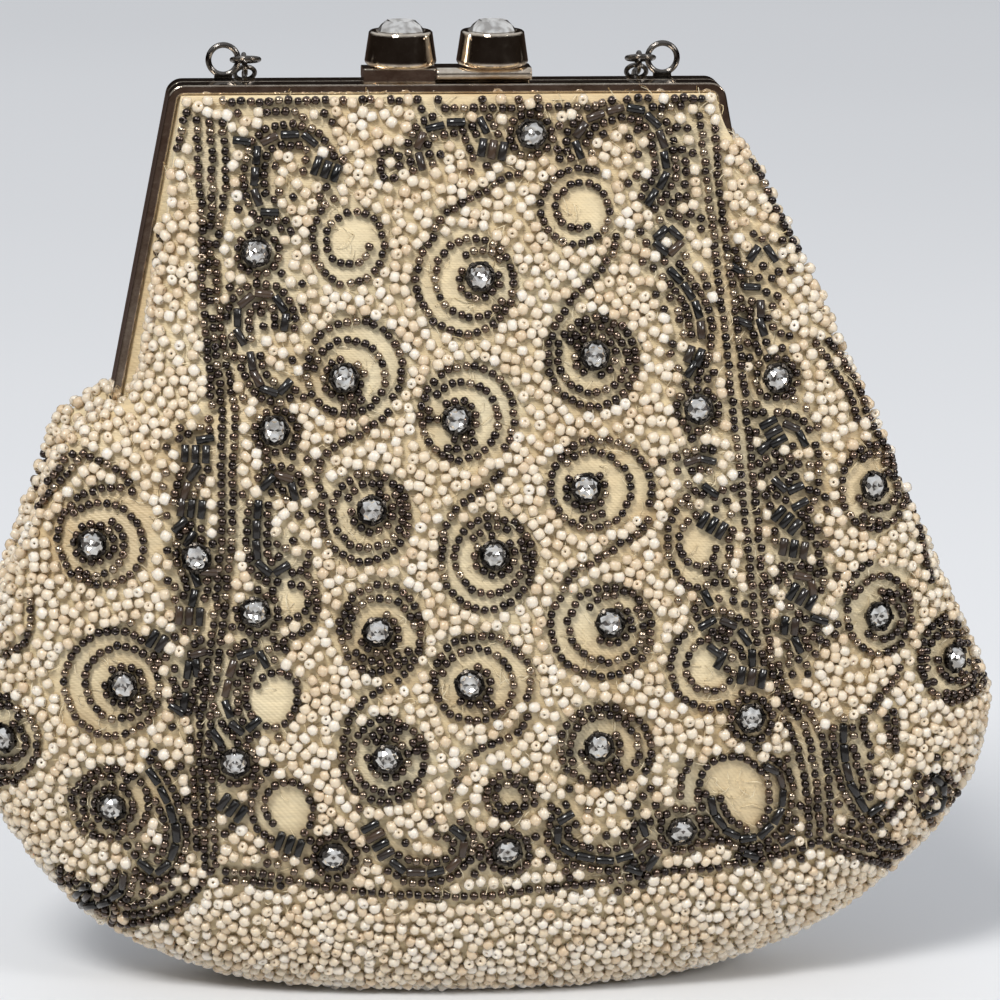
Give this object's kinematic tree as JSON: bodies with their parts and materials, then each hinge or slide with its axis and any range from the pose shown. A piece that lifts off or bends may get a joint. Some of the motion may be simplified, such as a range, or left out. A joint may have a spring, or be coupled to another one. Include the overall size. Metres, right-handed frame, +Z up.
{
  "type": "framed evening clutch bag",
  "caption": "Pouch-shaped beaded evening bag with a hinged metal frame, a twin-knob clasp set with faceted stones, and a fine carrying chain that hangs behind it.",
  "frame": {"origin": "middle of the flat patch on which the bag stands, under the frame's mid-plane", "axes": "+X to the bag's right as seen from the front, along the frame; +Y to the back, where the chain hangs; +Z up"},
  "size_m": [0.1493, 0.0519, 0.1428],
  "materials": {
    "frame_metal": "polished champagne plating, worn lightly on the edges",
    "rivet_metal": "dull dark silver",
    "chain_metal": "polished gunmetal plating",
    "setting_metal": "dark silver",
    "crystal": "clear faceted, foiled back",
    "beaded_satin": "cream satin under pearls, seed beads and bugle beads",
    "lining_satin": "plain cream satin",
    "cord": "twisted paper cord"
  },
  "bodies": {
    "rear_half": {"frame_rear": "frame_metal", "rear_frame_cord": "cord", "hinge_rivet_left": "rivet_metal", "hinge_rivet_right": "rivet_metal", "clasp_tongue_right": "frame_metal", "knob_cup_right": "frame_metal", "knob_stone_right": "crystal", "chain_eye_left": "chain_metal", "chain_eye_right": "chain_metal", "end_link_left": "chain_metal", "end_link_right": "chain_metal", "front_panel_fold": "beaded_satin", "front_panel_lower": "beaded_satin", "gusset_fold_left": "beaded_satin", "gusset_fold_right": "beaded_satin", "gusset_left": "beaded_satin", "gusset_right": "beaded_satin", "rear_wing_left": "beaded_satin", "rear_wing_right": "beaded_satin", "rear_panel": "beaded_satin", "bottom_panel": "beaded_satin", "lining_fold": "lining_satin", "lining_rear": "lining_satin", "lining_pouch": "lining_satin", "settings_fold": "setting_metal", "stones_fold": "crystal", "settings_lower": "setting_metal", "stones_lower": "crystal", "settings_rear": "setting_metal", "stones_rear": "crystal"},
    "front_half": {"frame_front": "frame_metal", "front_frame_cord": "cord", "clasp_tongue_left": "frame_metal", "knob_cup_left": "frame_metal", "knob_stone_left": "crystal", "front_panel_upper": "beaded_satin", "front_wing_left": "beaded_satin", "front_wing_right": "beaded_satin", "lining_front": "lining_satin", "settings_upper": "setting_metal", "stones_upper": "crystal"},
    "chain": {"chain_edge_links": "chain_metal", "chain_flat_links": "chain_metal"}
  },
  "joints": [
    {"name": "frame_hinge", "type": "hinge", "parent": "rear_half", "child": "front_half", "pos_m": [0, 0, 0.084], "axis": [1, 0, 0], "range_deg": [0, 60], "deforming": ["front_panel_fold", "gusset_fold_left", "gusset_fold_right", "lining_fold", "settings_fold", "stones_fold"]},
    {"name": "chain_swing", "type": "hinge", "parent": "rear_half", "child": "chain", "pos_m": [0, 0.00613, 0.13608], "axis": [1, 0, 0], "range_deg": [0, 160]}
  ]
}
